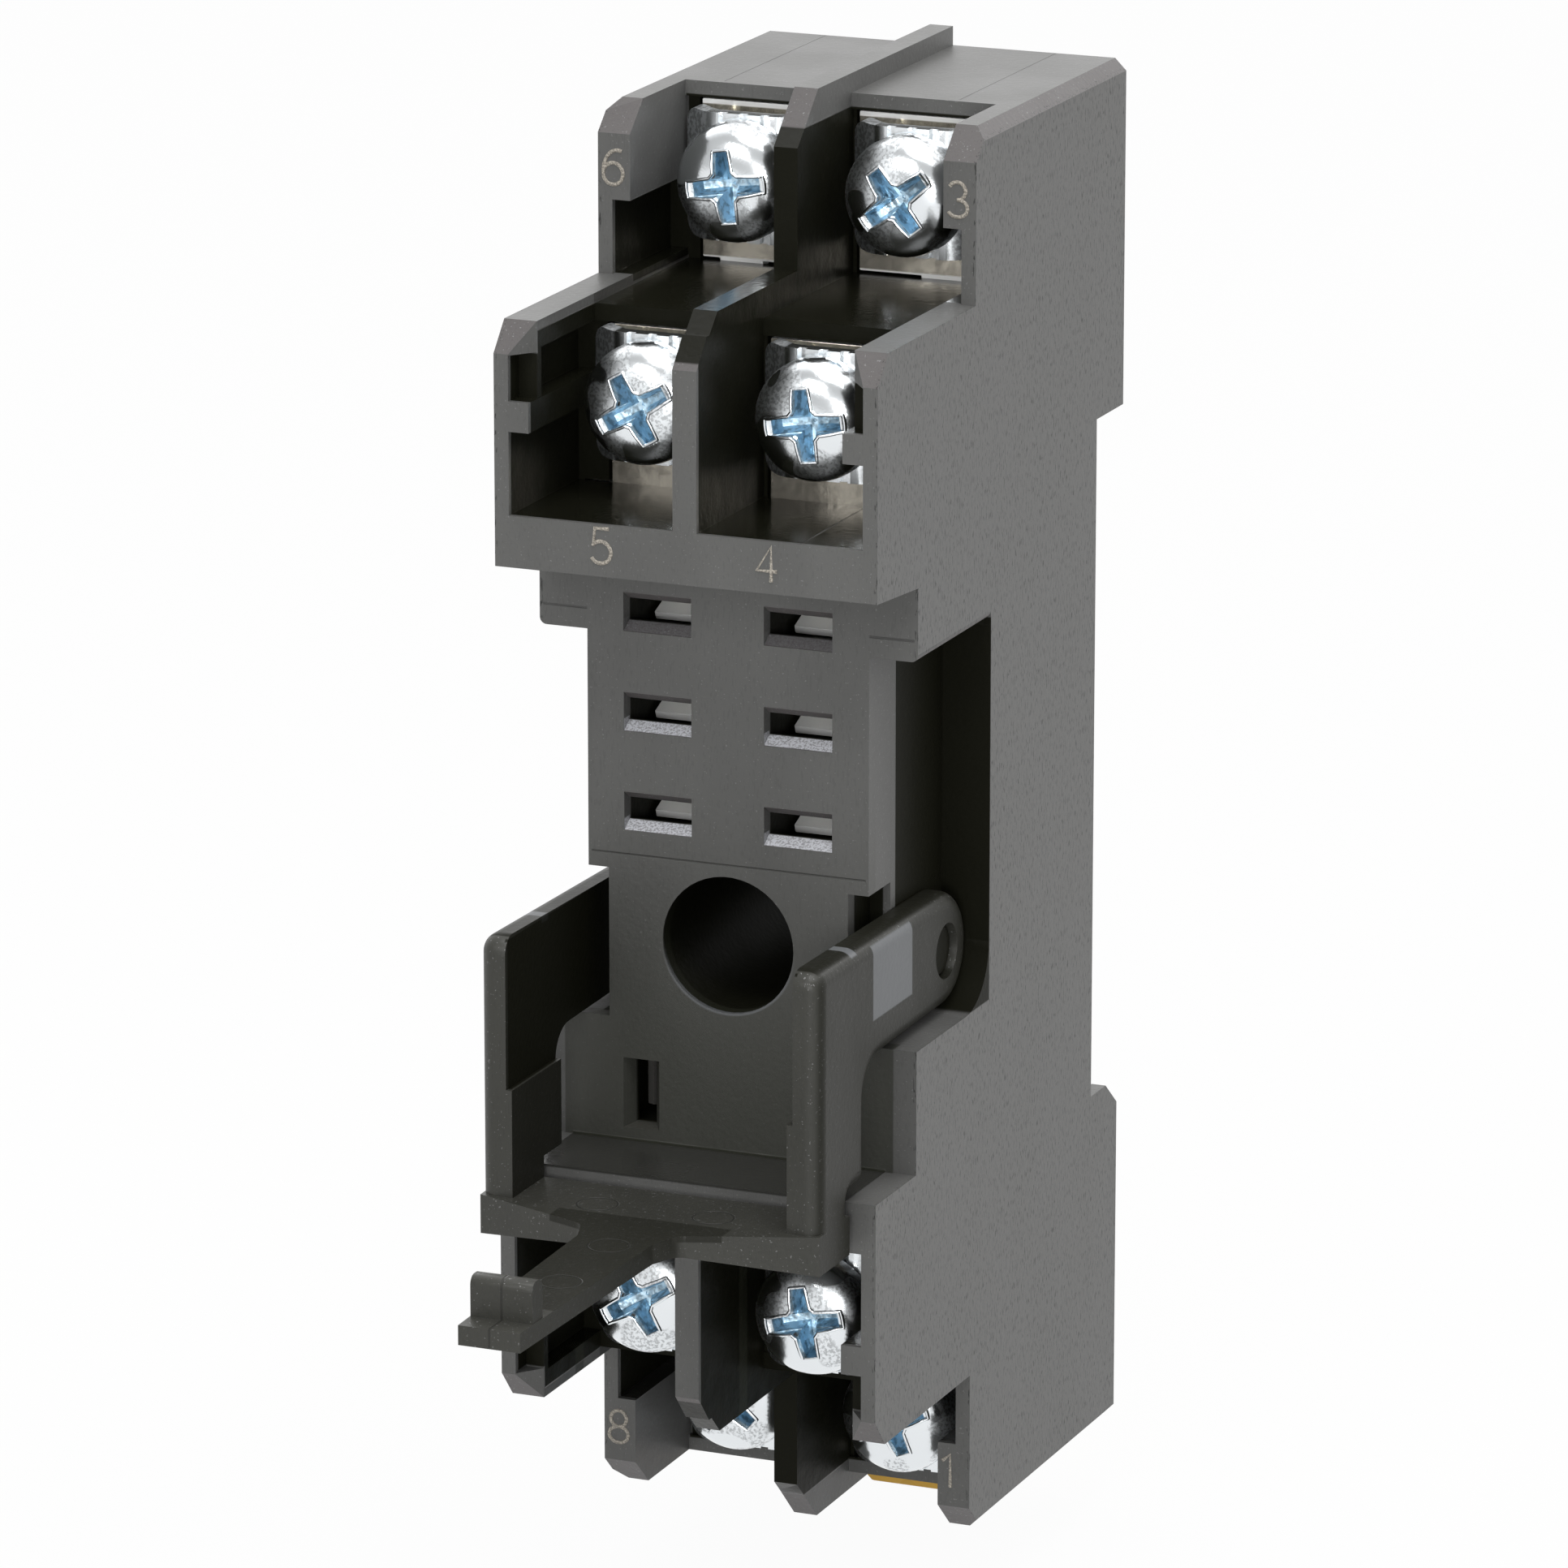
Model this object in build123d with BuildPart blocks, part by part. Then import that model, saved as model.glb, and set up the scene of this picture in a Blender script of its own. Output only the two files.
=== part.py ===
from build123d import *
import os

# A relay socket for a 35 mm rail, in millimetres.
# The origin is the middle of the rail seat, the relay side faces -Y and up is +Z.
# Depths are counted forward from the rail seat. Values named _height are counted
# from the middle plane of the housing, both up and down.

# Housing
body_width = 19.8
body_height = 71.14
body_drop = 0.32            # the housing's middle plane below the rail's middle
face_depth = 23.8           # relay face
outer_depth = 16.53         # front of the two end rows of terminals
inner_depth = 28.98         # front of the two rows beside the relay
back_depth = 3.69           # rear faces, behind the rail seat
wall = 0.75
roof_thickness = 0.8
edge_break = 0.6
barrier_thickness = 1.24
barrier_rise = 0.97
seat_top_height = 15.18     # underside of the row above the relay
seat_low_height = 14.58     # ledge of the row below the relay
seat_roof_slope = 0.4
plate_height = 2.55         # number plate under each inner cell
shelf_height = 26.58        # floor of the end cells
shelf_thickness = 0.85
side_top_height = 27.08     # side walls of the inner rows
shelf_front_depth = 20.8
roof_front_depth = 9.7

# Bevels at the front edges: how far each runs back, and how far it drops
tab_bevel_run = 1.63
tab_bevel_drop = 1.5
side_bevel_run = 1.28
side_bevel_drop = 1.45
barrier_bevel_run = 2.6
barrier_bevel_drop = 2.5

# Ribs inside the side walls
rib_width = 0.95
tab_width = 1.7
tab_low_height = 30.78
lug_width = 1.8
lug_low_height = 21.85
lug_top_height = 23.33
top_rib_height = 1.35
post_thickness = 0.5
gusset_low_height = 25.57   # above it, each inner side wall thickens towards its post

# Terminals: stamped strips, pushed in from behind
inner_screw_height = 22.48
outer_screw_height = 31.18
strip = 0.8
strip_bend = 0.6
inner_plate_depth = 20.7
outer_plate_depth = 9.4
plate_near_x = 0.95
plate_far_x = 7.4
plate_hole_radius = 1.6
plate_clearance = 0.12
spine_width = 2.3
inner_spine_near_x = 6.4
inner_spine_depth = 12.1
outer_spine_near_x = 4.2
step_under_floor = 1.1
channel_clearance = 0.15

# Relay contacts
slot_near_x = 1.9
slot_length = 3.57
slot_height = 1.95
slot_pitch = 5.0
slot_top_z = 12.81
slot_wall = 1.0             # thickness of the relay face, in front of the contacts
slot_bevel = 0.42           # drop of the bevels along the long edges
slot_bevel_run = 0.65
coil_slot_end_bevel = 0.18
coil_slot_near_x = 3.66
coil_slot_width = 1.92
coil_slot_length = 3.58
coil_slot_top_z = -10.7
clip_leaf = 0.4
clip_gap = 0.32
clip_flare = 0.6
clip_width = 3.2
clip_mouth = 3.4            # behind the relay face
clip_throat = 1.6
clip_root = 4.6
strap_height = 1.9

# Access hole for the mounting screw
bore_radius = 3.45
bore_z = -4.38
bore_depth = 17.0
mount_hole_radius = 2.1

# Side pockets for the release lever
block_half_width = 7.38
pocket_top_z = 10.8
pocket_floor_z = -8.65
pocket_rear_depth = 14.3
pocket_top_round = 0.4
pocket_corner_round = 0.36   # on the housing's corners, over the pockets
notch_inner_x = 6.3
notch_top_z = -1.1
notch_depth = 2.8

# Release lever, with reaches counted forward from the relay face
pivot_depth = 17.35
pivot_z = -5.39
pin_radius = 1.2
pin_length = 1.15
pin_clearance = 0.2
lever_side_gap = 0.09
lever_rest_gap = 0.2
lever_swing_gap = 0.15
arm_thickness = 1.41
arm_edge_round = 0.8
arm_reach = 9.75
arm_rise = 3.16             # top of the arm's front end, above the pivot
arm_corner = 0.9
leg_back_reach = 3.9
leg_fillet = 1.6
leg_extra = 0.3
leg_step_drop = 1.42        # below the underside of the arm
jog_gap = 0.7               # above the housing's ledge
jog_fillet = 0.5
foot_gap = 0.82             # in front of the lower inner row
foot_fillet = 0.8
floor_drop = 0.38           # top of the lever's floor, below the ledge
floor_thickness = 1.97
tongue_thickness = 0.97
wing_reach = 12.1
wing_half_width = 2.5
wing_fillet = 1.7
wing_round = 0.85
tongue_root_half_width = 1.95
tongue_tip_half_width = 1.58
tongue_reach = 28.3
catch_setback = 1.4         # behind the tip of the tongue
catch_thickness = 1.15
catch_height = 1.98
catch_round = 0.45

# Rail notch and rear cover
rail_width = 35.0
rail_thickness = 1.0
notch_clearance = 0.3
lip_gap = 0.25
lip_reach = 1.3
lip_near_x = 2.6
lip_far_x = 8.0
foot_bevel_run = 1.6
foot_bevel_drop = 1.3
cover_thickness = 1.4
cover_clearance = 0.15
cover_wall = 1.3
cover_inset = 0.1
post_near_x = 1.15
post_width = 1.4
post_length = 5.2

# Rail hook and its spring
hook_half_width = 4.6
hook_flange = 1.2
hook_flange_thickness = 0.9
hook_thickness = 1.9
hook_travel = 2.5
hook_tab_half_width = 3.05
hook_tab_reach = 4.46       # below the housing
hook_clearance = 0.2
peg_width = 1.8
peg_height = 1.4
peg_top_z = -28.5
peg_clearance = 0.3
spring_length = 4.2
spring_radius = 0.8
spring_wire = 0.3
spring_turns = 5

# Clamp screws and washers
head_radius = 3.0
head_height = 2.45
head_rim = 0.7
shank_radius = 1.45
shank_length = 9.0
cross_span = 3.9
cross_width = 1.1
cross_depth = 1.5
cross_taper = 14
core_width = 1.9            # square pit in the middle of the cross, across its flats
core_depth = 1.55
core_taper = 30
slot_cut_width = 0.85
slot_cut_depth = 0.7
washer_barrier_gap = 0.28
washer_wall_gap = 1.15
washer_height = 6.4
washer_flat = 3.8           # flat front, between the sloping sides
washer_thickness = 0.8
washer_lift = 1.9           # front of the washer, in front of the plate
washer_bend = 1.2
washer_corner = 0.8
washer_hole_radius = 1.7
groove_pitch = 1.1
groove_width = 0.4
groove_length = 0.7
groove_depth = 0.25
screw_turns = {"1": 24, "2": 12, "3": 38, "4": 8, "5": 30, "6": 8, "7": 30, "8": 50}

# Worked out from the sizes above
past = 1.0                  # how far a cut runs past a face
face_y = -face_depth
outer_y = -outer_depth
inner_y = -inner_depth
inner_plate_y = -inner_plate_depth
outer_plate_y = -outer_plate_depth
half_width = body_width / 2
half_height = body_height / 2
inner_wall_x = half_width - wall
barrier_x = barrier_thickness / 2
washer_near_x = barrier_x + washer_barrier_gap
washer_far_x = inner_wall_x - washer_wall_gap
washer_width = washer_far_x - washer_near_x
screw_x = (washer_near_x + washer_far_x) / 2
rail_edge_z = rail_width / 2
rail_notch = rail_edge_z + notch_clearance / 2
pivot_y = -pivot_depth
pocket_rear_y = -pocket_rear_depth
pocket_round = min(pocket_rear_y - pivot_y, pivot_z - pocket_floor_z)
arm_inner_x = block_half_width + lever_side_gap
lever_half_width = arm_inner_x + arm_thickness
arm_round = pocket_round - lever_swing_gap
arm_front_y = face_y - arm_reach
leg_back_y = face_y - leg_back_reach
foot_back_y = inner_y - foot_gap
arm_top_z = pivot_z + arm_rise
arm_low_z = pocket_floor_z + lever_rest_gap
leg_step_z = arm_low_z - leg_step_drop
jog_z = -body_drop - seat_low_height + jog_gap
floor_top_z = -body_drop - seat_low_height - floor_drop
foot_z = floor_top_z - floor_thickness
tongue_low_z = floor_top_z - tongue_thickness
cover_front_y = -cover_thickness
cover_back_y = back_depth - cover_inset
cover_half_width = inner_wall_x - cover_clearance
hook_front = rail_thickness + hook_clearance
hook_back_y = hook_front + hook_thickness
hook_top_z = -rail_edge_z + lip_reach
hook_low_z = hook_travel + hook_clearance - body_drop - half_height + roof_thickness
hook_tab_z = -body_drop - half_height - hook_tab_reach
window_low_z = peg_top_z - peg_height - hook_clearance
clip_half = clip_gap / 2 + clip_leaf
clip_mouth_y = face_y + clip_mouth
slot_end_y = face_y + slot_wall
clip_middle_x = slot_near_x + slot_length / 2
coil_middle_x = coil_slot_near_x + coil_slot_width / 2
coil_middle_z = coil_slot_top_z - coil_slot_length / 2

RIGHT, LEFT = 1, -1
UPPER, LOWER = 1, -1
OUTER, INNER = "outer", "inner"

# Each terminal's number, with its column, its end and its row
terminals = {
    "1": (RIGHT, LOWER, OUTER),
    "2": (RIGHT, LOWER, INNER),
    "3": (RIGHT, UPPER, OUTER),
    "4": (RIGHT, UPPER, INNER),
    "5": (LEFT, UPPER, INNER),
    "6": (LEFT, UPPER, OUTER),
    "7": (LEFT, LOWER, INNER),
    "8": (LEFT, LOWER, OUTER),
}


def level(end, height):
    """The z of a height that is counted from the housing's middle plane."""
    return end * height - body_drop


def seat_height(end):
    return seat_top_height if end == UPPER else seat_low_height


def floor_height(end):
    return seat_height(end) + plate_height


def slot_middle_z(row_number):
    return slot_top_z - row_number * slot_pitch - slot_height / 2


def side_slab(points, x0, x1, mode=Mode.ADD):
    """A side-view outline, as (y, z) points, made solid from x0 to x1."""
    low, high = sorted((x0, x1))
    with BuildSketch(Plane.YZ.offset(low)) as side:
        with BuildLine():
            Polyline(*points, close=True)
        make_face()
    extrude(side.sketch, amount=high - low, mode=mode)


def side_block(y0, y1, z0, z1, x0, x1, mode=Mode.ADD):
    """A rectangle of the side view, made solid from x0 to x1."""
    side_slab([(y0, z0), (y1, z0), (y1, z1), (y0, z1)], x0, x1, mode)


def side_cut(y0, y1, z0, z1, x0, x1):
    side_block(y0, y1, z0, z1, x0, x1, Mode.SUBTRACT)


def save(part, label):
    """Names the solid and writes it to its own file."""
    part.label = label
    export_step(part, f"parts/{label}.step")


def housing_half_outline(end):
    """One end of the housing's side view, from the back to the relay face."""
    slope = seat_roof_slope if end == UPPER else 0
    return [
        (back_depth, level(end, half_height)),
        (outer_y + tab_bevel_run, level(end, half_height)),
        (outer_y, level(end, half_height - tab_bevel_drop)),
        (outer_y, level(end, side_top_height)),
        (inner_y + side_bevel_run, level(end, side_top_height)),
        (inner_y, level(end, side_top_height - side_bevel_drop)),
        (inner_y, level(end, seat_height(end))),
        (face_y, level(end, seat_height(end) - slope)),
    ]


def notch_outline():
    """The rail notch in the side view, from its foot up."""
    return [
        (back_depth, -rail_notch - foot_bevel_drop),
        (back_depth - foot_bevel_run, -rail_notch),
        (0, -rail_notch),
        (0, rail_notch),
        (back_depth, rail_notch),
    ]


def barrier_outline(end):
    """The middle wall, which stands above the side walls."""
    roof = half_height + barrier_rise
    inner = side_top_height + barrier_rise
    return [
        (back_depth, level(end, roof)),
        (outer_y + barrier_bevel_run, level(end, roof)),
        (outer_y, level(end, roof - barrier_bevel_drop)),
        (outer_y, level(end, inner)),
        (inner_y + barrier_bevel_run, level(end, inner)),
        (inner_y, level(end, inner - barrier_bevel_drop)),
        (inner_y, level(end, seat_height(end))),
        (cover_front_y, level(end, seat_height(end))),
        (cover_front_y, level(end, half_height - roof_thickness)),
        (back_depth, level(end, half_height - roof_thickness)),
    ]


def cut_cells(side, end):
    """The two cells of one column at one end, open to the front."""
    near = side * barrier_x
    far = side * inner_wall_x
    rib = side * (inner_wall_x - rib_width)
    tab = side * (half_width - tab_width)
    outside = level(end, half_height + past)
    shelf = level(end, shelf_height)
    under_shelf = level(end, shelf_height - shelf_thickness)
    under_roof = level(end, half_height - roof_thickness)
    floor = level(end, floor_height(end))
    side_top = level(end, side_top_height)
    lug_top = level(end, lug_top_height)
    bevel_back_y = inner_y + side_bevel_run

    # End cell, open outward as far as the roof's front edge
    side_cut(outer_y - past, -roof_front_depth, shelf, outside, near, tab)
    side_cut(-roof_front_depth, outer_plate_y, shelf, under_roof, near, tab)
    side_cut(outer_y - past, outer_plate_y, side_top, level(end, tab_low_height), tab, far)

    # Inner cell, open outward as far as the shelf's front edge
    side_cut(inner_y - past, -shelf_front_depth, floor, outside, near, rib)
    side_cut(-shelf_front_depth, inner_plate_y, floor, under_shelf, near, rib)
    side_cut(-shelf_front_depth, outer_y, shelf, outside, near, rib)

    # The side wall is thin in front of the post, behind it and below the lug
    gusset = level(end, gusset_low_height)
    side_cut(inner_y - past, bevel_back_y, lug_top, gusset, rib, far)
    with BuildSketch(Plane.XY.offset(gusset)) as front_of_gusset:
        with BuildLine():
            Polyline(
                (far, inner_y - past),
                (far, inner_y),
                (rib, bevel_back_y),
                (rib, inner_y - past),
                close=True,
            )
        make_face()
    extrude(front_of_gusset.sketch, amount=outside - gusset, mode=Mode.SUBTRACT)
    side_cut(bevel_back_y + post_thickness, inner_plate_y, lug_top,
             level(end, side_top_height - top_rib_height), rib, far)
    side_cut(inner_y - past, inner_plate_y, floor, level(end, lug_low_height), rib, far)


def strip_line(end, row):
    """The middle of a terminal's strip in the side view, from its plate inward."""
    z = contact_z(end, row)
    if row == OUTER:
        top = level(end, half_height - roof_thickness - plate_clearance)
        half = strap_height / 2 if end == UPPER else clip_width / 2
        y = outer_plate_y + strip / 2
        return [(y, top), (y, z - end * half)]
    y = inner_plate_y + strip / 2
    top = level(end, shelf_height - shelf_thickness - plate_clearance)
    step = level(end, floor_height(end) - step_under_floor)
    return [
        (y, top),
        (y, step),
        (-inner_spine_depth, step),
        (-inner_spine_depth, z - end * strap_height / 2),
    ]


def contact_z(end, row):
    """The middle height of the contact that a terminal ends in."""
    if row == OUTER:
        return slot_middle_z(1) if end == UPPER else coil_middle_z
    return slot_middle_z(0) if end == UPPER else slot_middle_z(2)


def is_coil(end, row):
    return end == LOWER and row == OUTER


def strip_boxes(end, row):
    """The strip's outline in the front view, as (x0, x1, z0, z1, front y) boxes."""
    line = strip_line(end, row)
    plate_y = line[0][0] - strip / 2
    spine_y = line[-1][0] - strip / 2
    if row == OUTER:
        near = outer_spine_near_x
        plate_low = level(end, shelf_height + plate_clearance)
        step_low = plate_low
    else:
        near = inner_spine_near_x
        plate_low = line[1][1] + end * (strip / 2 + strip_bend)
        step_low = line[1][1] - end * strip / 2
    far = near + spine_width
    boxes = [
        (plate_near_x, plate_far_x, plate_low, line[0][1], plate_y),
        (near, far, line[-1][1], step_low, spine_y),
    ]
    if row == INNER:
        boxes.append((near, far, step_low, plate_low, plate_y))
    if not is_coil(end, row):
        z = contact_z(end, row)
        strap = strap_height / 2
        boxes.append((clip_middle_x - clip_width / 2, far, z - strap, z + strap, spine_y))
    return boxes


def contact_box(end, row):
    """The space of a terminal's contact in the front view, as long as its slot, and its front y."""
    z = contact_z(end, row)
    wide = clip_half + clip_flare
    if is_coil(end, row):
        middle, half_x, half_z = coil_middle_x, wide, coil_slot_length / 2 - channel_clearance
    else:
        middle, half_x, half_z = clip_middle_x, slot_length / 2 - channel_clearance, wide
    return (middle - half_x, middle + half_x, z - half_z, z + half_z, slot_end_y)


def cut_channels(side, end, row):
    """Room for one terminal, open to the rear."""
    for x0, x1, z0, z1, y in strip_boxes(end, row) + [contact_box(end, row)]:
        low, high = sorted((z0, z1))
        gap = channel_clearance
        side_cut(y, cover_front_y + past, low - gap, high + gap, side * (x0 - gap), side * (x1 + gap))


def bevelled_slot(x, z, width, height, bevel_x, bevel_z):
    """A contact slot through the relay face, with bevelled edges."""
    with BuildSketch(Plane.XZ.offset(face_depth)) as rim:
        with Locations((x, z)):
            Rectangle(width, height)
    with BuildSketch(Plane.XZ.offset(face_depth - slot_bevel_run)) as throat:
        with Locations((x, z)):
            Rectangle(width - 2 * bevel_x, height - 2 * bevel_z)
    loft([rim.sketch, throat.sketch], mode=Mode.SUBTRACT)
    extrude(throat.sketch, amount=slot_bevel_run - clip_mouth, mode=Mode.SUBTRACT)


# Housing: one moulding, open in front for the wires and behind for the terminals
with BuildPart() as housing:
    outline = housing_half_outline(UPPER) + housing_half_outline(LOWER)[::-1] + notch_outline()
    side_slab(outline, -half_width, half_width)

    # The long edges of both ends are broken
    with BuildSketch(Plane.XZ.offset(-back_depth)) as ends:
        with Locations((0, -body_drop)):
            Rectangle(body_width, body_height)
        chamfer(ends.vertices(), edge_break)
    extrude(ends.sketch, amount=back_depth + inner_depth, mode=Mode.INTERSECT)

    for end in (UPPER, LOWER):
        for side in (RIGHT, LEFT):
            cut_cells(side, end)
            side_block(inner_y, inner_plate_y, level(end, lug_low_height), level(end, lug_top_height),
                       side * (half_width - lug_width), side * inner_wall_x)

    # Room for the rear cover, between the side walls
    side_cut(cover_front_y, back_depth + past, level(LOWER, half_height - roof_thickness),
             level(UPPER, half_height - roof_thickness), -inner_wall_x, inner_wall_x)

    for end in (UPPER, LOWER):
        side_slab(barrier_outline(end), -barrier_x, barrier_x)

    # Side pockets, round about the lever's pivot, and the notches inside its arms
    for side in (RIGHT, LEFT):
        with BuildSketch(Plane.YZ.offset(side * block_half_width)) as pocket:
            with BuildLine():
                FilletPolyline(
                    (face_y - past, pocket_top_z),
                    (pocket_rear_y, pocket_top_z),
                    (pocket_rear_y, pocket_floor_z),
                    (face_y - past, pocket_floor_z),
                    radius=(0, pocket_top_round, pocket_round, 0),
                    close=True,
                )
            make_face()
        extrude(pocket.sketch, amount=side * (half_width - block_half_width + past), mode=Mode.SUBTRACT)
        side_cut(face_y - past, face_y + notch_depth, pocket_floor_z, notch_top_z,
                 side * notch_inner_x, side * (block_half_width + past))

    # The housing's corners over the pockets are round
    for side in (RIGHT, LEFT):
        with BuildSketch(Plane.XZ.offset(face_depth + past)) as corner:
            with Locations((side * half_width, pocket_top_z)):
                Rectangle(2 * pocket_corner_round, 2 * pocket_corner_round)
            with Locations((side * (half_width - pocket_corner_round), pocket_top_z + pocket_corner_round)):
                Circle(pocket_corner_round, mode=Mode.SUBTRACT)
        extrude(corner.sketch, amount=-past - face_depth - pocket_rear_y, mode=Mode.SUBTRACT)

    # Pivot pins for the lever
    for side in (RIGHT, LEFT):
        with BuildSketch(Plane.YZ.offset(side * block_half_width)) as pin:
            with Locations((pivot_y, pivot_z)):
                Circle(pin_radius)
        extrude(pin.sketch, amount=side * pin_length)

    # Contact slots in the relay face
    for side in (RIGHT, LEFT):
        for row_number in range(3):
            bevelled_slot(side * clip_middle_x, slot_middle_z(row_number), slot_length, slot_height,
                          0, slot_bevel)
        bevelled_slot(side * coil_middle_x, coil_middle_z, coil_slot_width, coil_slot_length,
                      slot_bevel, coil_slot_end_bevel)

    # Channels for the terminals
    for side, end, row in terminals.values():
        cut_channels(side, end, row)

    # Access hole, then the hole for the mounting screw
    with BuildSketch(Plane.XZ.offset(face_depth)) as bore:
        with Locations((0, bore_z)):
            Circle(bore_radius)
    extrude(bore.sketch, amount=-bore_depth, mode=Mode.SUBTRACT)
    with BuildSketch(Plane.XZ.offset(face_depth)) as mount_hole:
        with Locations((0, bore_z)):
            Circle(mount_hole_radius)
    extrude(mount_hole.sketch, amount=-face_depth - past, mode=Mode.SUBTRACT)

    # Way out for the tab of the rail hook
    side_cut(hook_front - hook_clearance, back_depth + past, level(LOWER, half_height + barrier_rise + past),
             level(LOWER, half_height - roof_thickness - past),
             -hook_tab_half_width - hook_clearance, hook_tab_half_width + hook_clearance)
save(housing.part, "housing")


# Rear cover: closes the housing, carries the fixed rail lip and guides the hook
with BuildPart() as rear_cover:
    top = level(UPPER, half_height - roof_thickness - cover_clearance)
    low = level(LOWER, half_height - roof_thickness - cover_clearance)
    side_slab([
        (cover_front_y, low),
        (cover_back_y, low),
        (cover_back_y, -rail_notch - foot_bevel_drop),
        (cover_back_y - foot_bevel_run, -rail_notch),
        (0, -rail_notch),
        (0, rail_notch),
        (cover_back_y, rail_notch),
        (cover_back_y, top),
        (cover_front_y, top),
    ], -cover_half_width, cover_half_width)

    # Fixed lip, in two halves, behind the rail's upper edge
    lip_y = rail_thickness + lip_gap
    for side in (RIGHT, LEFT):
        side_slab([
            (lip_y, rail_notch + past),
            (lip_y, rail_edge_z - lip_reach + lip_gap),
            (lip_y + lip_gap, rail_edge_z - lip_reach),
            (cover_back_y, rail_edge_z - lip_reach),
            (cover_back_y, rail_notch + past),
        ], side * lip_near_x, side * lip_far_x)

    # Hollows in the upper block, beside a middle web
    for side in (RIGHT, LEFT):
        side_cut(0, back_depth, rail_notch + cover_wall, top - cover_wall,
                 side * cover_wall / 2, side * (cover_half_width - cover_wall))

    # Guide for the hook, wider where its flanges run
    guide_y = hook_front - hook_clearance
    flange_y = hook_front + hook_flange_thickness + hook_clearance
    guide = hook_half_width + hook_clearance
    side_cut(guide_y, flange_y, low - past, -rail_notch + past, -guide - hook_flange, guide + hook_flange)
    side_cut(guide_y, back_depth, low - past, -rail_notch + past, -guide, guide)
    side_block(0, hook_back_y, peg_top_z - peg_height, peg_top_z, -peg_width / 2, peg_width / 2)

    # Posts that press the terminal plates against the housing
    for side, end, row in terminals.values():
        plate_y = outer_plate_y if row == OUTER else inner_plate_y
        height = outer_screw_height if row == OUTER else inner_screw_height
        side_block(plate_y + strip, 0, level(end, height) - post_length / 2,
                   level(end, height) + post_length / 2,
                   side * post_near_x, side * (post_near_x + post_width))

    with BuildSketch(Plane.XZ) as mount_hole:
        with Locations((0, bore_z)):
            Circle(mount_hole_radius)
    extrude(mount_hole.sketch, amount=cover_thickness + past, both=True, mode=Mode.SUBTRACT)
save(rear_cover.part, "rear_cover")


# Rail hook: slides down behind the rail's lower edge
with BuildPart() as rail_hook:
    bevel = hook_thickness / 2
    side_slab([
        (hook_front, hook_low_z),
        (hook_back_y, hook_low_z),
        (hook_back_y, hook_top_z),
        (hook_front + bevel, hook_top_z),
        (hook_front, hook_top_z - bevel),
    ], -hook_half_width, hook_half_width)
    flange_top = -rail_notch - foot_bevel_drop
    side_block(hook_front, hook_front + hook_flange_thickness, hook_low_z, flange_top,
               -hook_half_width - hook_flange, hook_half_width + hook_flange)
    side_block(hook_front, hook_back_y, hook_tab_z, hook_low_z + past,
               -hook_tab_half_width, hook_tab_half_width)
    tab_corners = rail_hook.edges().filter_by(Axis.Y).group_by(Axis.Z)[0]
    chamfer(tab_corners, hook_thickness / 4)

    # Window for the peg and the spring
    window = peg_width / 2 + peg_clearance
    side_cut(hook_front - past, hook_back_y + past, window_low_z, peg_top_z + spring_length,
             -window, window)
save(rail_hook.part, "rail_hook")


# Hook spring: between the cover's peg and the top of the hook's window
with BuildPart() as hook_spring:
    pitch = (spring_length - spring_wire) / spring_turns
    spring_y = hook_front + hook_thickness / 2
    start_z = peg_top_z + spring_wire / 2
    with BuildLine() as coil:
        Helix(pitch, pitch * spring_turns, spring_radius, center=(0, spring_y, start_z))
    with BuildSketch(Plane(coil.line @ 0, z_dir=coil.line % 0)):
        Circle(spring_wire / 2)
    sweep(path=coil.line, is_frenet=True)
save(hook_spring.part, "hook_spring")


# Floor of the lever, with its wings and tongue: the plan, cut to the front view
with BuildPart() as lever_floor:
    root_y = face_y - wing_reach - wing_fillet
    with BuildSketch(Plane.XY.offset(foot_z)) as plan:
        with BuildLine():
            FilletPolyline(
                (-lever_half_width, foot_back_y),
                (lever_half_width, foot_back_y),
                (lever_half_width, arm_front_y),
                (wing_half_width, face_y - wing_reach),
                (tongue_root_half_width, root_y),
                (tongue_tip_half_width, face_y - tongue_reach),
                (-tongue_tip_half_width, face_y - tongue_reach),
                (-tongue_root_half_width, root_y),
                (-wing_half_width, face_y - wing_reach),
                (-lever_half_width, arm_front_y),
                radius=(0, 0, 0, wing_round, wing_round, 0, 0, wing_round, wing_round, 0),
                close=True,
            )
        make_face()
    extrude(plan.sketch, amount=floor_top_z - foot_z)
    with BuildSketch(Plane.XZ.offset(-face_y)) as front:
        with BuildLine():
            Polyline(
                (-lever_half_width, floor_top_z),
                (lever_half_width, floor_top_z),
                (lever_half_width, foot_z),
                (tongue_root_half_width, tongue_low_z),
                (-tongue_root_half_width, tongue_low_z),
                (-lever_half_width, foot_z),
                close=True,
            )
        make_face()
    extrude(front.sketch, amount=tongue_reach, mode=Mode.INTERSECT)

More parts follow.
